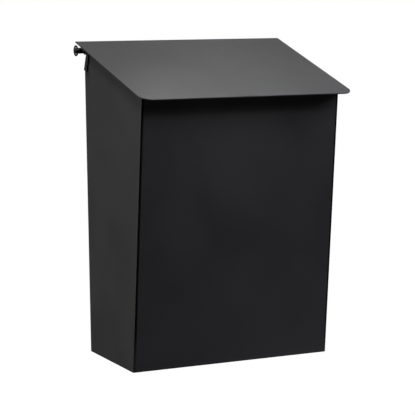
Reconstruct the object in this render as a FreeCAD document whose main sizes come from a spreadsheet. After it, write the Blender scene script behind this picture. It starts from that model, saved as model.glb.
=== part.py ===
"""Wall letter box folded from sheet steel, with a sloping lid that turns on a rod along its rear edge.

Millimetres, +X right, +Y into the wall, +Z up. The origin is the middle of the wall screw pattern, on the wall.
Sheets are drawn in a working frame: X from the middle, Y from the box's rear face, Z from the lower front edge.
The lid and its lugs are drawn in the lid's frame: the rod's axis is X, Y runs up the slope and Z is square to it.
"""
import FreeCAD, Part
import os
import Sketcher

# Driving dimensions
SIZES = {
    "sheet": "1.2",
    "bend_inside": "0.5",
    "body_width": "260",
    "floor_depth": "115.5",
    "floor_rise": "8.6",
    "front_lean": "6.36",
    "hinge_height": "369.5",
    "rod_radius": "3.5",
    "rod_fit": "0.06",
    "rod_chamfer": "0.5",
    "rod_tip": "1.6",
    "rod_drop": "5.1",
    "rod_head": "4.7",
    "rod_head_length": "1.8",
    "rod_head_gap": "0.3",
    "roll_seam": "0.8",
    "roll_setback": "3.8",
    "rim_gap": "0.3",
    "relief_width": "5",
    "relief_depth": "20",
    "lid_sheet": "1.5",
    "lid_slope": "20.15",
    "lid_front_overhang": "17.7",
    "lid_side_overhang": "9.1",
    "lid_rear_reach": "13.7",
    "lid_corner": "14",
    "lid_edge": "0.4",
    "lug_sheet": "1.5",
    "lug_gap": "0.5",
    "lug_eye": "5",
    "lug_tail_rear": "4.8",
    "lug_tail_width": "6.7",
    "lug_tail_drop": "22.6",
    "lug_flange": "6.5",
    "clip_gap": "3.7",
    "clip_sheet": "0.7",
    "clip_fit": "0.02",
    "clip_radius": "6.5",
    "clip_groove": "3",
    "clip_mouth": "4.8",
    "clip_pocket": "1.7",
    "clip_pocket_place": "2.9",
    "wall_gap": "12",
    "boss_top": "10",
    "boss_angle": "45",
    "screw_radius": "3.25",
    "screw_spacing_across": "180",
    "screw_spacing_up": "240",
    "screw_height": "190",
    "back_flange": "12",
    "tray_wall": "14",
    "tray_clearance": "3",
    "drain_radius": "3",
    "drain_spacing": "80",
    "drain_setback": "20",
}

# Dimensions worked out from the driving ones, as expressions
HALF_WIDTH = "(sizes.body_width / 2)"
INNER_HALF = f"({HALF_WIDTH} - sizes.sheet)"
BEND_OUTSIDE = "(sizes.bend_inside + sizes.sheet)"
HOLE_RADIUS = "(sizes.rod_radius + sizes.rod_fit)"
ROLL_RADIUS = f"({HOLE_RADIUS} + sizes.sheet)"
ROLL_HALF = f"({INNER_HALF} - sizes.roll_setback)"
LEAN = "tan(sizes.front_lean)"
SLOPE = "tan(sizes.lid_slope)"
RIM_AT_ROD = "(sizes.hinge_height + (sizes.rod_drop - sizes.rim_gap) / cos(sizes.lid_slope))"
RIM_REAR = f"({RIM_AT_ROD} + {ROLL_RADIUS} * {SLOPE})"
RIM_FRONT = f"(({RIM_AT_ROD} - (sizes.floor_depth - {ROLL_RADIUS}) * {SLOPE}) / (1 + {LEAN} * {SLOPE}))"
RIM_DEPTH = f"(sizes.floor_depth + {RIM_FRONT} * {LEAN})"
FLOOR_SLOPE = "(sizes.floor_rise / sizes.floor_depth)"
FRONT_WALL = "(sizes.sheet / cos(sizes.front_lean))"
TRAY_FRONT = f"(sizes.floor_depth - {FRONT_WALL} / (1 + {LEAN} * {FLOOR_SLOPE}))"
TRAY_FRONT_RISE = f"((sizes.floor_depth - {TRAY_FRONT}) * {FLOOR_SLOPE})"
TRAY_REAR_RISE = f"(sizes.floor_rise - sizes.sheet * {FLOOR_SLOPE})"
BACK_FLANGE_BOTTOM = "(sizes.floor_rise + sizes.tray_wall + sizes.tray_clearance)"
RELIEF_FLOOR = "(sizes.hinge_height - sizes.relief_depth)"
BOSS_BASE = "(sizes.boss_top + sizes.wall_gap * tan(sizes.boss_angle))"
BOSS_HOLLOW = f"({BOSS_BASE} + sizes.sheet * tan(sizes.boss_angle) - sizes.sheet / cos(sizes.boss_angle))"
LID_HALF = f"({HALF_WIDTH} + sizes.lid_side_overhang)"
LID_FRONT = f"(({RIM_DEPTH} - {ROLL_RADIUS} + sizes.lid_front_overhang) / cos(sizes.lid_slope))"
LUG_INSIDE = f"({HALF_WIDTH} + sizes.lug_gap)"
LUG_TAIL_FRONT = "(sizes.lug_tail_rear + sizes.lug_tail_width)"
FLANGE_REAR = "(sizes.rod_head + sizes.rod_head_gap)"
HEAD_INSIDE = f"({LUG_INSIDE} + sizes.lug_sheet + sizes.rod_head_gap)"
HEAD_END = f"({HEAD_INSIDE} + sizes.rod_head_length)"
CLIP_INSIDE = f"({LID_HALF} + sizes.clip_gap)"
GROOVE_INSIDE = f"({CLIP_INSIDE} - sizes.clip_fit)"
GROOVE_OUTSIDE = f"({CLIP_INSIDE} + sizes.clip_sheet + sizes.clip_fit)"
ROD_END = f"({GROOVE_OUTSIDE} + sizes.rod_tip)"

# Cuts run this far past the faces they open
BEYOND = "(2 * sizes.sheet)"

# A length under this is nothing, and a normal with more than this share along an axis faces that way
FLAT = 1e-6
FACING = 0.5

doc = FreeCAD.newDocument("letter_box")
sizes = doc.addObject("Spreadsheet::Sheet", "sizes")
for row, (alias, number) in enumerate(SIZES.items(), 1):
    sizes.set(f"A{row}", alias)
    sizes.set(f"B{row}", number)
    sizes.setAlias(f"B{row}", alias)
doc.recompute()


def measure(expression):
    """The number that an expression gives with the sheet's present sizes."""
    return float(sizes.evalExpression(expression))


def new_body(label, base, tilt="0"):
    """A sub-part placed at base, given as three expressions, and tilted about X."""
    body = doc.addObject("PartDesign::Body", label)
    body.Label = label
    body.Placement.Rotation = FreeCAD.Rotation(FreeCAD.Vector(1, 0, 0), measure(tilt) + 1)
    body.setExpression("Placement.Rotation.Angle", tilt)
    for axis, expression in zip("xyz", base):
        body.setExpression(f"Placement.Base.{axis}", expression)
    return body


def new_sheet_body(label):
    """A sub-part of the box, drawn in the working frame."""
    return new_body(label, ("0", "-sizes.wall_gap", "-sizes.screw_height"))


def new_hinge_body(label, tilt):
    """A sub-part drawn about the rod's axis."""
    return new_body(label, ("0", f"-sizes.wall_gap - {ROLL_RADIUS}", "sizes.hinge_height - sizes.screw_height"), tilt)


def new_sketch(body, name, role, offset="0"):
    """A sketch on one of the body's own origin planes, moved along its normal by offset."""
    sketch = body.newObject("Sketcher::SketchObject", name)
    plane = next(feature for feature in body.Origin.OriginFeatures if feature.Role == role)
    sketch.AttachmentSupport = [(plane, "")]
    sketch.MapMode = "FlatFace"
    sketch.setExpression("AttachmentOffset.Base.z", offset)
    return sketch


def bind(sketch, constraint, expression):
    """Adds a dimension and ties it to an expression."""
    sketch.setExpression(f"Constraints[{sketch.addConstraint(constraint)}]", expression)


def fix_point(sketch, element, point, across, up):
    """Ties one point of the sketch to its distances from the sketch's origin."""
    for kind, expression in (("DistanceX", across), ("DistanceY", up)):
        bind(sketch, Sketcher.Constraint(kind, -1, 1, element, point, measure(expression)), expression)


def draw_polygon(sketch, corners):
    """A closed outline through corners, each a pair of expressions."""
    first = sketch.GeometryCount
    count = len(corners)
    spots = [FreeCAD.Vector(measure(across), measure(up)) for across, up in corners]
    for index in range(count):
        sketch.addGeometry(Part.LineSegment(spots[index], spots[(index + 1) % count]))
    for index in range(count):
        sketch.addConstraint(Sketcher.Constraint("Coincident", first + index, 2, first + (index + 1) % count, 1))
    for index, (across, up) in enumerate(corners):
        fix_point(sketch, first + index, 1, across, up)


def draw_rectangle(sketch, left, low, right, high):
    """An upright rectangle between two corners."""
    draw_polygon(sketch, ((left, low), (right, low), (right, high), (left, high)))


def draw_circle(sketch, across, up, radius):
    """A circle about a point."""
    centre = FreeCAD.Vector(measure(across), measure(up))
    element = sketch.addGeometry(Part.Circle(centre, FreeCAD.Vector(0, 0, 1), measure(radius)))
    fix_point(sketch, element, 3, across, up)
    bind(sketch, Sketcher.Constraint("Radius", element, measure(radius)), radius)


def extrude(kind, sketch, length, symmetric=False, reverse=False, taper="0"):
    """A pad or pocket of the sketch."""
    feature = sketch.getParentGeoFeatureGroup().newObject(f"PartDesign::{kind}", f"{sketch.Name}_{kind.lower()}")
    feature.Profile = sketch
    feature.setExpression("Length", length)
    feature.setExpression("TaperAngle", taper)
    feature.SideType = "Symmetric" if symmetric else "One side"
    feature.Reversed = reverse
    sketch.Visibility = False
    doc.recompute()
    return feature


def names_of(kind, items, wanted):
    """Sub-element names of the edges or faces that satisfy wanted."""
    return [f"{kind}{number}" for number, item in enumerate(items, 1) if wanted(item)]


def round_edges(feature, name, radius, wanted):
    """Fillets the edges of a feature that satisfy wanted."""
    fillet = feature.getParentGeoFeatureGroup().newObject("PartDesign::Fillet", name)
    fillet.Base = (feature, names_of("Edge", feature.Shape.Edges, wanted))
    fillet.setExpression("Radius", radius)
    doc.recompute()
    return fillet


def hollow(feature, name, wanted):
    """Turns a solid into folded sheet, open at the faces that satisfy wanted."""
    shell = feature.getParentGeoFeatureGroup().newObject("PartDesign::Thickness", name)
    shell.Base = (feature, names_of("Face", feature.Shape.Faces, wanted))
    shell.setExpression("Value", "sizes.sheet")
    shell.Reversed = True
    shell.Join = "Intersection"
    doc.recompute()
    return shell


def is_front_fold(edge):
    """Whether an edge is one of the two that climb the leaning front at its ends."""
    if len(edge.Vertexes) != 2:
        return False
    run = edge.Vertexes[1].Point - edge.Vertexes[0].Point
    climbs = abs(run.z) > abs(run.y) > FLAT
    return climbs and abs(run.x) < FLAT


def normal_of(face):
    """Outward normal at a face's first corner of parameters."""
    low_u, _, low_v, _ = face.ParameterRange
    return face.normalAt(low_u, low_v)


def build_front_and_sides():
    """Front and both sides, folded from one sheet, open at the top, bottom and rear."""
    body = new_sheet_body("front_and_sides")
    profile = new_sketch(body, "side_profile", "YZ_Plane")
    draw_polygon(profile, (
        ("-sizes.floor_depth", "0"),
        ("0", "sizes.floor_rise"),
        ("0", RIM_REAR),
        (f"-{RIM_DEPTH}", RIM_FRONT),
    ))
    block = extrude("Pad", profile, "sizes.body_width", symmetric=True)
    folded = round_edges(block, "front_folds", BEND_OUTSIDE, is_front_fold)
    hollow(folded, "wrap_sheet", lambda face: abs(normal_of(face).z) > FACING or normal_of(face).y > FACING)

    # The relief at each top rear corner is cut square to the sloping rim, and lets the rod past
    relief = new_sketch(body, "corner_relief", "YZ_Plane")
    along = ("cos(sizes.lid_slope)", "sin(sizes.lid_slope)")
    reach = f"({ROLL_RADIUS} + sizes.relief_depth)"
    corners = []
    for forward, down in (
        ("sizes.relief_width", f"-{reach}"),
        ("sizes.relief_width", "sizes.relief_depth"),
        (f"-{reach}", "sizes.relief_depth"),
        (f"-{reach}", f"-{reach}"),
    ):
        across = f"-{ROLL_RADIUS} - ({forward}) * {along[0]} + ({down}) * {along[1]}"
        up = f"sizes.hinge_height - ({forward}) * {along[1]} - ({down}) * {along[0]}"
        corners.append((across, up))
    draw_polygon(relief, corners)
    extrude("Pocket", relief, f"sizes.body_width + {BEYOND}", symmetric=True)
    return body


def build_back_panel():
    """Back sheet with its top edge rolled round the rod, side flanges and bosses pressed out to the wall."""
    body = new_sheet_body("back_panel")
    plate = new_sketch(body, "back_plate", "XZ_Plane")
    draw_polygon(plate, (
        (f"-{INNER_HALF}", "sizes.floor_rise"),
        (INNER_HALF, "sizes.floor_rise"),
        (INNER_HALF, RELIEF_FLOOR),
        (ROLL_HALF, RELIEF_FLOOR),
        (ROLL_HALF, "sizes.hinge_height"),
        (f"-{ROLL_HALF}", "sizes.hinge_height"),
        (f"-{ROLL_HALF}", RELIEF_FLOOR),
        (f"-{INNER_HALF}", RELIEF_FLOOR),
    ))
    extrude("Pad", plate, "sizes.sheet")

    roll = new_sketch(body, "rolled_edge", "YZ_Plane")
    draw_circle(roll, f"-{ROLL_RADIUS}", "sizes.hinge_height", ROLL_RADIUS)
    extrude("Pad", roll, f"2 * {ROLL_HALF}", symmetric=True)
    bore = new_sketch(body, "rolled_bore", "YZ_Plane")
    draw_circle(bore, f"-{ROLL_RADIUS}", "sizes.hinge_height", HOLE_RADIUS)
    extrude("Pocket", bore, f"2 * {ROLL_HALF} + {BEYOND}", symmetric=True)
    seam = new_sketch(body, "roll_seam_gap", "YZ_Plane")
    draw_rectangle(seam, "-sizes.sheet - sizes.roll_seam", f"sizes.hinge_height - {ROLL_RADIUS}",
                   "-sizes.sheet", f"sizes.hinge_height - {HOLE_RADIUS} / 3")
    extrude("Pocket", seam, f"2 * {ROLL_HALF} + {BEYOND}", symmetric=True)

    flanges = new_sketch(body, "side_flanges", "XY_Plane", BACK_FLANGE_BOTTOM)
    for inside, outside in ((f"-{INNER_HALF} + sizes.sheet", f"-{INNER_HALF}"),
                            (f"{INNER_HALF} - sizes.sheet", INNER_HALF)):
        draw_rectangle(flanges, inside, "-sizes.back_flange", outside, "0")
    extrude("Pad", flanges, f"{RELIEF_FLOOR} - {BACK_FLANGE_BOTTOM}")

    for name, offset, radius, kind, reverse, taper in (
        ("wall_bosses", "0", BOSS_BASE, "Pad", True, "-sizes.boss_angle"),
        ("boss_hollows", "sizes.sheet", BOSS_HOLLOW, "Pocket", False, "-sizes.boss_angle"),
        ("screw_holes", "sizes.sheet", "sizes.screw_radius", "Pocket", False, "0"),
    ):
        circles = new_sketch(body, name, "XZ_Plane", offset)
        for across in ("-sizes.screw_spacing_across / 2", "sizes.screw_spacing_across / 2"):
            for up in ("-sizes.screw_spacing_up / 2", "sizes.screw_spacing_up / 2"):
                draw_circle(circles, across, f"sizes.screw_height + {up}", radius)
        depth = f"sizes.wall_gap + {BEYOND}" if name == "screw_holes" else "sizes.wall_gap"
        extrude(kind, circles, depth, reverse=reverse, taper=taper)
    return body


def build_floor_panel():
    """Tray folded from one sheet that closes the bottom, sloping to the front, with drain holes at its low side."""
    body = new_sheet_body("floor_panel")
    profile = new_sketch(body, "tray_profile", "YZ_Plane")
    draw_polygon(profile, (
        (f"-{TRAY_FRONT}", TRAY_FRONT_RISE),
        ("-sizes.sheet", TRAY_REAR_RISE),
        ("-sizes.sheet", f"{TRAY_REAR_RISE} + sizes.tray_wall"),
        (f"-{TRAY_FRONT} - sizes.tray_wall * {LEAN}", f"{TRAY_FRONT_RISE} + sizes.tray_wall"),
    ))
    block = extrude("Pad", profile, f"2 * {INNER_HALF}", symmetric=True)
    folded = round_edges(block, "tray_folds", BEND_OUTSIDE, is_front_fold)
    hollow(folded, "tray_sheet", lambda face: normal_of(face).z > FACING)

    drains = new_sketch(body, "drain_holes", "XY_Plane")
    for across in ("-sizes.drain_spacing", "0", "sizes.drain_spacing"):
        draw_circle(drains, across, "-sizes.floor_depth + sizes.drain_setback", "sizes.drain_radius")
    extrude("Pocket", drains, "2 * sizes.floor_rise", symmetric=True)
    return body


def build_lid():
    """Flat lid with rounded front corners and softened edges."""
    body = new_hinge_body("lid", "sizes.lid_slope")
    outline = new_sketch(body, "lid_outline", "XY_Plane", "sizes.rod_drop")
    draw_rectangle(outline, f"-{LID_HALF}", f"-{LID_FRONT}", LID_HALF, "sizes.lid_rear_reach")
    plate = extrude("Pad", outline, "sizes.lid_sheet")
    front = -measure(LID_FRONT)

    def is_front_corner(edge):
        return all(abs(vertex.Point.y - front) < FLAT for vertex in edge.Vertexes) and edge.BoundBox.XLength < FLAT

    rounded = round_edges(plate, "lid_corners", "sizes.lid_corner", is_front_corner)
    round_edges(rounded, "lid_edges", "sizes.lid_edge", lambda edge: edge.BoundBox.ZLength < FLAT)
    return body


def build_lid_lug(label, side):
    """Bracket welded under the lid beside the box: a flange, an eye on the rod and a tail. side is + or -."""
    body = new_hinge_body(label, "sizes.lid_slope")
    turned = side == "-"
    inside = f"{side}{LUG_INSIDE}"
    leg = new_sketch(body, f"{label}_leg", "YZ_Plane", inside)
    draw_polygon(leg, (
        ("0", "0"),
        ("0", "sizes.rod_drop"),
        (f"-{LUG_TAIL_FRONT}", "sizes.rod_drop"),
        (f"-{LUG_TAIL_FRONT}", "-sizes.lug_tail_drop"),
        ("-sizes.lug_tail_rear", "-sizes.lug_tail_drop"),
        ("-sizes.lug_tail_rear", "0"),
    ))
    extrude("Pad", leg, "sizes.lug_sheet", reverse=turned)
    eye = new_sketch(body, f"{label}_eye", "YZ_Plane", inside)
    draw_circle(eye, "0", "0", "sizes.lug_eye")
    extrude("Pad", eye, "sizes.lug_sheet", reverse=turned)
    bore = new_sketch(body, f"{label}_bore", "YZ_Plane")
    draw_circle(bore, "0", "0", HOLE_RADIUS)
    extrude("Pocket", bore, f"2 * {LID_HALF}", symmetric=True)
    flange = new_sketch(body, f"{label}_flange", "YZ_Plane", inside)
    draw_rectangle(flange, f"-{LUG_TAIL_FRONT}", "sizes.rod_drop - sizes.lug_sheet",
                   f"-{FLANGE_REAR}", "sizes.rod_drop")
    extrude("Pad", flange, "sizes.lug_sheet + sizes.lug_flange", reverse=turned)
    return body


def build_hinge_rod():
    """Rod with a head formed on its right end, beside the lug, and a groove for the clip near its left end."""
    body = new_hinge_body("hinge_rod", "0")
    profile = new_sketch(body, "rod_profile", "XY_Plane")
    draw_polygon(profile, (
        (f"-{ROD_END}", "0"),
        (f"-{ROD_END}", "sizes.rod_radius - sizes.rod_chamfer"),
        (f"-({ROD_END} - sizes.rod_chamfer)", "sizes.rod_radius"),
        (f"-{GROOVE_OUTSIDE}", "sizes.rod_radius"),
        (f"-{GROOVE_OUTSIDE}", "sizes.clip_groove"),
        (f"-{GROOVE_INSIDE}", "sizes.clip_groove"),
        (f"-{GROOVE_INSIDE}", "sizes.rod_radius"),
        (HEAD_INSIDE, "sizes.rod_radius"),
        (HEAD_INSIDE, "sizes.rod_head"),
        (f"({HEAD_END} - sizes.rod_chamfer)", "sizes.rod_head"),
        (HEAD_END, "sizes.rod_head - sizes.rod_chamfer"),
        (HEAD_END, "0"),
    ))
    turned = body.newObject("PartDesign::Revolution", "rod_turned")
    turned.Profile = profile
    turned.ReferenceAxis = (profile, ["H_Axis"])
    turned.Angle = 360
    doc.recompute()
    return body


def build_rod_clip():
    """Open retaining clip on the rod's left end: three lobes grip the groove, with a pocket between each two."""
    body = new_hinge_body("rod_clip_left", "0")
    disc = new_sketch(body, "clip_disc", "YZ_Plane", f"-{CLIP_INSIDE}")
    draw_circle(disc, "0", "0", "sizes.clip_radius")
    extrude("Pad", disc, "sizes.clip_sheet", reverse=True)
    grip = new_sketch(body, "clip_grip", "YZ_Plane")
    draw_circle(grip, "0", "0", "sizes.clip_groove + sizes.clip_fit")
    extrude("Pocket", grip, f"2 * {ROD_END}", symmetric=True)
    for name, up in (("clip_pocket_low", "-sizes.clip_pocket_place"), ("clip_pocket_high", "sizes.clip_pocket_place")):
        pocket = new_sketch(body, name, "YZ_Plane")
        draw_circle(pocket, "0", up, "sizes.clip_pocket")
        extrude("Pocket", pocket, f"2 * {ROD_END}", symmetric=True)

    # The mouth faces the front
    mouth = new_sketch(body, "clip_mouth", "YZ_Plane")
    draw_rectangle(mouth, "-2 * sizes.clip_radius", "-sizes.clip_mouth / 2", "0", "sizes.clip_mouth / 2")
    extrude("Pocket", mouth, f"2 * {ROD_END}", symmetric=True)
    return body


bodies = [
    build_front_and_sides(),
    build_back_panel(),
    build_floor_panel(),
    build_lid(),
    build_lid_lug("lid_lug_left", "-"),
    build_lid_lug("lid_lug_right", "+"),
    build_hinge_rod(),
    build_rod_clip(),
]
doc.recompute()

for item in doc.Objects:
    if "Invalid" in item.State or "Error" in item.State:
        raise RuntimeError(f"{item.Name} failed: {item.State}")
for body in bodies:
    if body.Shape.isNull() or not body.Shape.isValid() or len(body.Shape.Solids) != 1:
        raise RuntimeError(f"{body.Label} isn't one valid solid")

os.makedirs("parts", exist_ok=True)
for body in bodies:
    body.Shape.exportStep(f"parts/{body.Label}.step")
    print(body.Label, round(body.Shape.Volume, 1), body.Shape.BoundBox)
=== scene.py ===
"""Looks of the wall letter box: matt black powder coat, soft light from above, white surroundings."""
import math

import bpy
from mathutils import Matrix, Vector


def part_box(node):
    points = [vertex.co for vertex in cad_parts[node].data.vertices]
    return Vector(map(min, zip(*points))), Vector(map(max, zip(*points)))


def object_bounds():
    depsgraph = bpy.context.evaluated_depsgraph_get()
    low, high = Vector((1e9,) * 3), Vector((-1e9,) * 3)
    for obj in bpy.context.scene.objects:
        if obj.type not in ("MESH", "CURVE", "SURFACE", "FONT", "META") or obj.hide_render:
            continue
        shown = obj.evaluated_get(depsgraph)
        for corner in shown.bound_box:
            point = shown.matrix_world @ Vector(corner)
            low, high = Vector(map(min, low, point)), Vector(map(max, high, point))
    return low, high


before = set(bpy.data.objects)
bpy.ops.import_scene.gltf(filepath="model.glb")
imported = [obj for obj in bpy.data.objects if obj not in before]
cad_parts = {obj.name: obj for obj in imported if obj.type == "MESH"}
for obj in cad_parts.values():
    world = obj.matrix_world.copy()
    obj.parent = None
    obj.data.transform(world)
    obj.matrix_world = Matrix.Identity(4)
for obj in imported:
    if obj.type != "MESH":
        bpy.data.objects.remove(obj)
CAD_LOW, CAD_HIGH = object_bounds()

# Camera: a long lens, to the left of the box and a little above its middle
CAMERA_PLACE = Vector((-1.0389, -2.0083, 0.1982))
CAMERA_YAW = math.radians(28.217)
CAMERA_PITCH = math.radians(5.430)
CAMERA_ROLL = math.radians(0.908)
CAMERA_LENS = 159.475
CAMERA_SENSOR = 36.0

# Powder coat: its tones, its gloss, and the scales of its slow drift, its orange peel and its fine specks
COAT_DARK = (0.0202, 0.0200, 0.0200)
COAT_LIGHT = (0.0262, 0.0260, 0.0260)
COAT_ROUGHNESS = 0.52
COAT_ROUGHNESS_DRIFT = 0.04
COAT_SPECULAR = 0.4
COAT_GRAIN = 0.8
COAT_GRAIN_HEIGHT = 0.0001
DRIFT_SCALE = 14.0
PEEL_SCALE = 420.0
SPECK_SCALE = 1600.0

# The part of a noise's range that most of its values lie in
NOISE_LOW = 0.3
NOISE_HIGH = 0.7

# The rod's thinner and smoother coat, darker than the body's: painted shade for the lid's shadow over the
# rod
ROD_DARK = (0.006, 0.006, 0.0065)
ROD_LIGHT = (0.010, 0.010, 0.0105)
ROD_ROUGHNESS = 0.45
ROD_GRAIN = 0.2

# The clip's blackened spring steel
STEEL_DARK = (0.010, 0.010, 0.011)
STEEL_LIGHT = (0.030, 0.030, 0.032)
STEEL_SMOOTHEST = 0.32
STEEL_ROUGHEST = 0.45
STEEL_METALLIC = 0.6
STEEL_SCALE = 500.0

# Painted shade along the front's folds, drawn as a dark, dull line: distances in from the side face, and up
# from the bottom for its fade, which stands in for bounce light filling the fold lower down
FRONT_LEAN = math.radians(6.36)
FOLD_SHADE_TONE = (0.003, 0.003, 0.003)
FOLD_SHADE_SPECULAR = 0.05
FOLD_BEGIN = 0.0037
FOLD_FULL = 0.0024
FOLD_BIAS = 5.0
FOLD_FADE_LOW = 0.005
FOLD_FADE_HIGH = 0.045
FOLD_FADED_SHARE = 0.3

# Surroundings: the box hangs above a pale floor, in a white studio whose ceiling shows in reflections
FLOOR_DROP = 2.2
FLOOR_HALF = 30.0
FLOOR_GREY = 0.8
FLOOR_ROUGHNESS = 0.9
CEILING_BEGIN = 0.15
CEILING_FULL = 0.85
CEILING_LEVEL = 0.85

# Lamps
WHITE_LIGHT = (1.0, 1.0, 1.0)
COOL_LIGHT = (0.97, 0.97, 1.12)
WIDE_SPREAD = 180


def new_material(name):
    """A new node material with a surface shader: (material, nodes, links, shader)."""
    material = bpy.data.materials.new(name)
    material.use_nodes = True
    nodes = material.node_tree.nodes
    links = material.node_tree.links
    return material, nodes, links, nodes["Principled BSDF"]


def add_math(nodes, links, operation, *values):
    """One step of arithmetic on the outputs of other nodes and on plain numbers."""
    step = nodes.new("ShaderNodeMath")
    step.operation = operation
    for socket, value in zip(step.inputs, values):
        if isinstance(value, bpy.types.NodeSocket):
            links.new(value, socket)
        else:
            socket.default_value = value
    return step.outputs["Value"]


def add_range(nodes, links, source, low, high, to_low, to_high):
    """Maps a value from low..high to to_low..to_high and holds it there outside that range."""
    spread = nodes.new("ShaderNodeMapRange")
    spread.inputs["From Min"].default_value = low
    spread.inputs["From Max"].default_value = high
    spread.inputs["To Min"].default_value = to_low
    spread.inputs["To Max"].default_value = to_high
    links.new(source, spread.inputs["Value"])
    return spread.outputs["Result"]


def add_noise(nodes, links, place, scale, detail, roughness):
    """A noise texture on the object's own coordinates."""
    noise = nodes.new("ShaderNodeTexNoise")
    noise.inputs["Scale"].default_value = scale
    noise.inputs["Detail"].default_value = detail
    noise.inputs["Roughness"].default_value = roughness
    links.new(place.outputs["Object"], noise.inputs["Vector"])
    return noise.outputs["Fac"]


def add_tones(nodes, links, source, dark, light, low, high):
    """A colour that runs from dark, where the source is low, to light, where it is high."""
    ramp = nodes.new("ShaderNodeValToRGB")
    first, last = ramp.color_ramp.elements
    first.position = low
    first.color = (*dark, 1)
    last.position = high
    last.color = (*light, 1)
    links.new(source, ramp.inputs["Fac"])
    return ramp.outputs["Color"]


def add_fold_shade_mask(nodes, links, place):
    """Mask of painted shade: 1 along the front's two folds and 0 elsewhere, weaker at the bottom and kept
    off the sides.
    """
    low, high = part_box("front_and_sides")
    inward = Vector((0, math.cos(FRONT_LEAN), math.sin(FRONT_LEAN)))
    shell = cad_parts["front_and_sides"].data
    front_face = min(vertex.co.dot(inward) for vertex in shell.vertices)

    split = nodes.new("ShaderNodeSeparateXYZ")
    links.new(place.outputs["Object"], split.inputs["Vector"])
    depth = nodes.new("ShaderNodeVectorMath")
    depth.operation = "DOT_PRODUCT"
    depth.inputs[1].default_value = inward
    links.new(place.outputs["Object"], depth.inputs[0])

    across = add_math(nodes, links, "ABSOLUTE", split.outputs["X"])
    nearness = add_math(nodes, links, "MULTIPLY_ADD", depth.outputs["Value"], -FOLD_BIAS, across)
    corner = high.x - FOLD_BIAS * front_face
    line = add_range(nodes, links, nearness, corner - FOLD_BEGIN, corner - FOLD_FULL, 0, 1)
    # the painted shade fades towards the bottom, standing in for bounce light there
    fade_low = low.z + FOLD_FADE_LOW
    fade_high = low.z + FOLD_FADE_HIGH
    fade = add_range(nodes, links, split.outputs["Z"], fade_low, fade_high, FOLD_FADED_SHARE, 1)
    return add_math(nodes, links, "MULTIPLY", line, fade)


def paint_fold_shade(nodes, links, shader, place, tone):
    """Paints shade along the front's folds: the coat turns darker and duller there."""
    shade_along_folds = add_fold_shade_mask(nodes, links, place)
    blend = nodes.new("ShaderNodeMix")
    blend.data_type = "RGBA"
    links.new(shade_along_folds, blend.inputs["Factor"])
    links.new(tone, blend.inputs["A"])
    blend.inputs["B"].default_value = (*FOLD_SHADE_TONE, 1)
    links.new(blend.outputs["Result"], shader.inputs["Base Color"])
    specular = add_range(nodes, links, shade_along_folds, 0, 1, COAT_SPECULAR, FOLD_SHADE_SPECULAR)
    links.new(specular, shader.inputs["Specular IOR Level"])


def powder_coat(name, dark, light, roughness, grain, folds=False):
    """Matt powder coat: a fine grain in the relief, with slow drifts of tone and gloss."""
    material, nodes, links, shader = new_material(name)
    place = nodes.new("ShaderNodeTexCoord")
    drift = add_noise(nodes, links, place, DRIFT_SCALE, detail=3.0, roughness=0.5)
    speck = add_noise(nodes, links, place, SPECK_SCALE, detail=2.0, roughness=0.6)
    peel = add_noise(nodes, links, place, PEEL_SCALE, detail=2.0, roughness=0.5)

    tone = add_tones(nodes, links, drift, dark, light, NOISE_LOW, NOISE_HIGH)
    links.new(tone, shader.inputs["Base Color"])
    smoothest = roughness - COAT_ROUGHNESS_DRIFT
    roughest = roughness + COAT_ROUGHNESS_DRIFT
    gloss = add_range(nodes, links, drift, NOISE_LOW, NOISE_HIGH, smoothest, roughest)
    links.new(gloss, shader.inputs["Roughness"])
    shader.inputs["Specular IOR Level"].default_value = COAT_SPECULAR
    # painted shade along the front's folds
    if folds:
        paint_fold_shade(nodes, links, shader, place, tone)

    bump = nodes.new("ShaderNodeBump")
    bump.inputs["Strength"].default_value = grain
    bump.inputs["Distance"].default_value = COAT_GRAIN_HEIGHT
    links.new(add_math(nodes, links, "ADD", speck, peel), bump.inputs["Height"])
    links.new(bump.outputs["Normal"], shader.inputs["Normal"])
    return material


def blackened_steel(name):
    """Blackened spring steel with a faint, uneven sheen."""
    material, nodes, links, shader = new_material(name)
    place = nodes.new("ShaderNodeTexCoord")
    cloud = add_noise(nodes, links, place, STEEL_SCALE, detail=3.0, roughness=0.6)
    tone = add_tones(nodes, links, cloud, STEEL_DARK, STEEL_LIGHT, 0, 1)
    links.new(tone, shader.inputs["Base Color"])
    gloss = add_range(nodes, links, cloud, NOISE_LOW, NOISE_HIGH, STEEL_SMOOTHEST, STEEL_ROUGHEST)
    links.new(gloss, shader.inputs["Roughness"])
    shader.inputs["Metallic"].default_value = STEEL_METALLIC
    return material


def dress_nodes():
    """Gives every CAD node its finish."""
    coat = (COAT_DARK, COAT_LIGHT, COAT_ROUGHNESS, COAT_GRAIN)
    # the front and sides carry painted shade along the front's folds
    front_coat = powder_coat("front_coat", *coat, folds=True)
    body_coat = powder_coat("body_coat", *coat)
    lid_coat = powder_coat("lid_coat", *coat)
    # the rod's darker coat is painted shade under the lid
    rod_coat = powder_coat("rod_coat", ROD_DARK, ROD_LIGHT, ROD_ROUGHNESS, ROD_GRAIN)
    finishes = {
        "front_and_sides": front_coat,
        "back_panel": body_coat,
        "floor_panel": body_coat,
        "lid": lid_coat,
        "lid_lug_left": lid_coat,
        "lid_lug_right": lid_coat,
        "hinge_rod": rod_coat,
        "rod_clip_left": blackened_steel("clip_steel"),
    }
    for node, finish in finishes.items():
        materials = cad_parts[node].data.materials
        materials.clear()
        materials.append(finish)


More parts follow.
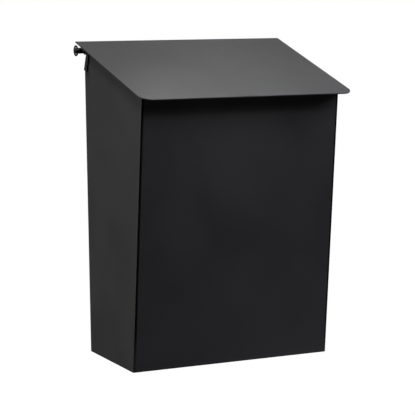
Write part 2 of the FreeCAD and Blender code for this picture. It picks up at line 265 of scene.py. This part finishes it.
def add_camera():
    """Sets the camera at the photograph's viewing angle."""
    forward = Vector((
        math.sin(CAMERA_YAW) * math.cos(CAMERA_PITCH),
        math.cos(CAMERA_YAW) * math.cos(CAMERA_PITCH),
        -math.sin(CAMERA_PITCH),
    ))
    level = Vector((math.cos(CAMERA_YAW), -math.sin(CAMERA_YAW), 0))
    down = forward.cross(level)
    right = math.cos(CAMERA_ROLL) * level + math.sin(CAMERA_ROLL) * down
    below = -math.sin(CAMERA_ROLL) * level + math.cos(CAMERA_ROLL) * down
    turn = Matrix((right, -below, -forward)).transposed()
    data = bpy.data.cameras.new("camera")
    data.lens = CAMERA_LENS
    data.sensor_width = CAMERA_SENSOR
    camera = bpy.data.objects.new("camera", data)
    camera.matrix_world = Matrix.Translation(CAMERA_PLACE) @ turn.to_4x4()
    bpy.context.scene.collection.objects.link(camera)
    bpy.context.scene.camera = camera


def add_softbox(name, place, target, size, watts, spread=WIDE_SPREAD, tint=WHITE_LIGHT):
    """A rectangular lamp at place that faces target, with its light held to a cone of spread degrees."""
    data = bpy.data.lights.new(name, "AREA")
    data.shape = "RECTANGLE"
    data.size, data.size_y = size
    data.energy = watts
    data.color = tint
    data.spread = math.radians(spread)
    lamp = bpy.data.objects.new(name, data)
    lamp.location = Vector(place)
    lamp.rotation_euler = (Vector(target) - Vector(place)).to_track_quat("-Z", "Y").to_euler()
    lamp.visible_camera = False
    bpy.context.scene.collection.objects.link(lamp)


def add_main_lights():
    """Softboxes overhead, above the right front and on the left, all facing the middle of the box."""
    middle = (CAD_LOW + CAD_HIGH) / 2
    add_softbox("overhead_light", (0.10, -0.25, 0.75), middle, size=(0.5, 0.5), watts=0.65)
    add_softbox("front_light", (1.15, -0.80, 1.05), middle, size=(1.0, 1.0), watts=24.0, tint=COOL_LIGHT)
    add_softbox("left_light", (-1.80, 0.80, 0.0), middle, size=(0.6, 0.6), watts=9.6)
    add_softbox("left_high_light", (-0.92, 0.27, 1.95), middle, size=(0.5, 0.5), watts=30.0)


def add_weak_lights():
    """Small lamps with narrow beams that even out the lid and the front."""
    add_softbox(
        "lid_light", (0.12, 0.30, 0.62), target=(0.02, -0.40, 0.02),
        size=(0.15, 0.15), watts=0.07, spread=24,
    )
    add_softbox(
        "lid_corner_light", (0.02, -0.02, 0.42), target=(-0.13, -0.20, 0.11),
        size=(0.1, 0.1), watts=0.0061, spread=30,
    )
    add_softbox(
        "lid_front_light", (0.05, -0.75, 0.60), target=(0, -0.20, 0.11),
        size=(0.3, 0.1), watts=0.053, spread=30,
    )
    add_softbox(
        "bounce_light", (0.28, -0.34, -0.42), target=(0.12, -0.13, -0.20),
        size=(0.3, 0.1), watts=0.0215, spread=60, tint=COOL_LIGHT,
    )
    add_softbox(
        "glow_light", (0.30, -1.10, 0.12), target=(-0.03, -0.143, 0.05),
        size=(0.03, 0.03), watts=0.0012, spread=9, tint=COOL_LIGHT,
    )


def add_world():
    """White surroundings for the camera and a bright ceiling in reflections, in an otherwise dim studio."""
    world = bpy.data.worlds.new("studio")
    world.use_nodes = True
    bpy.context.scene.world = world
    nodes = world.node_tree.nodes
    links = world.node_tree.links
    backdrop = nodes["Background"]
    place = nodes.new("ShaderNodeTexCoord")
    split = nodes.new("ShaderNodeSeparateXYZ")
    links.new(place.outputs["Generated"], split.inputs["Vector"])
    ceiling = add_range(nodes, links, split.outputs["Z"], CEILING_BEGIN, CEILING_FULL, 0, CEILING_LEVEL)
    rays = nodes.new("ShaderNodeLightPath").outputs
    mirrored = add_math(nodes, links, "MULTIPLY", rays["Is Glossy Ray"], ceiling)
    seen = add_math(nodes, links, "MAXIMUM", rays["Is Camera Ray"], rays["Is Transmission Ray"])
    strength = add_math(nodes, links, "MAXIMUM", seen, mirrored)
    backdrop.inputs["Color"].default_value = (1, 1, 1, 1)
    links.new(strength, backdrop.inputs["Strength"])


def add_floor():
    """A pale floor well below the box, white to the camera."""
    height = CAD_LOW.z - FLOOR_DROP
    mesh = bpy.data.meshes.new("floor")
    corners = [(x * FLOOR_HALF, y * FLOOR_HALF, height) for x, y in ((-1, -1), (1, -1), (1, 1), (-1, 1))]
    mesh.from_pydata(corners, [], [(0, 1, 2, 3)])
    floor = bpy.data.objects.new("floor", mesh)
    bpy.context.scene.collection.objects.link(floor)
    material, nodes, links, shader = new_material("floor_paint")
    shader.inputs["Base Color"].default_value = (FLOOR_GREY, FLOOR_GREY, FLOOR_GREY, 1)
    shader.inputs["Roughness"].default_value = FLOOR_ROUGHNESS
    shader.inputs["Emission Color"].default_value = (1, 1, 1, 1)
    rays = nodes.new("ShaderNodeLightPath").outputs
    links.new(rays["Is Camera Ray"], shader.inputs["Emission Strength"])
    mesh.materials.append(material)


dress_nodes()
add_camera()
add_main_lights()
add_weak_lights()
add_world()
add_floor()
bpy.context.scene.view_settings.view_transform = "Standard"
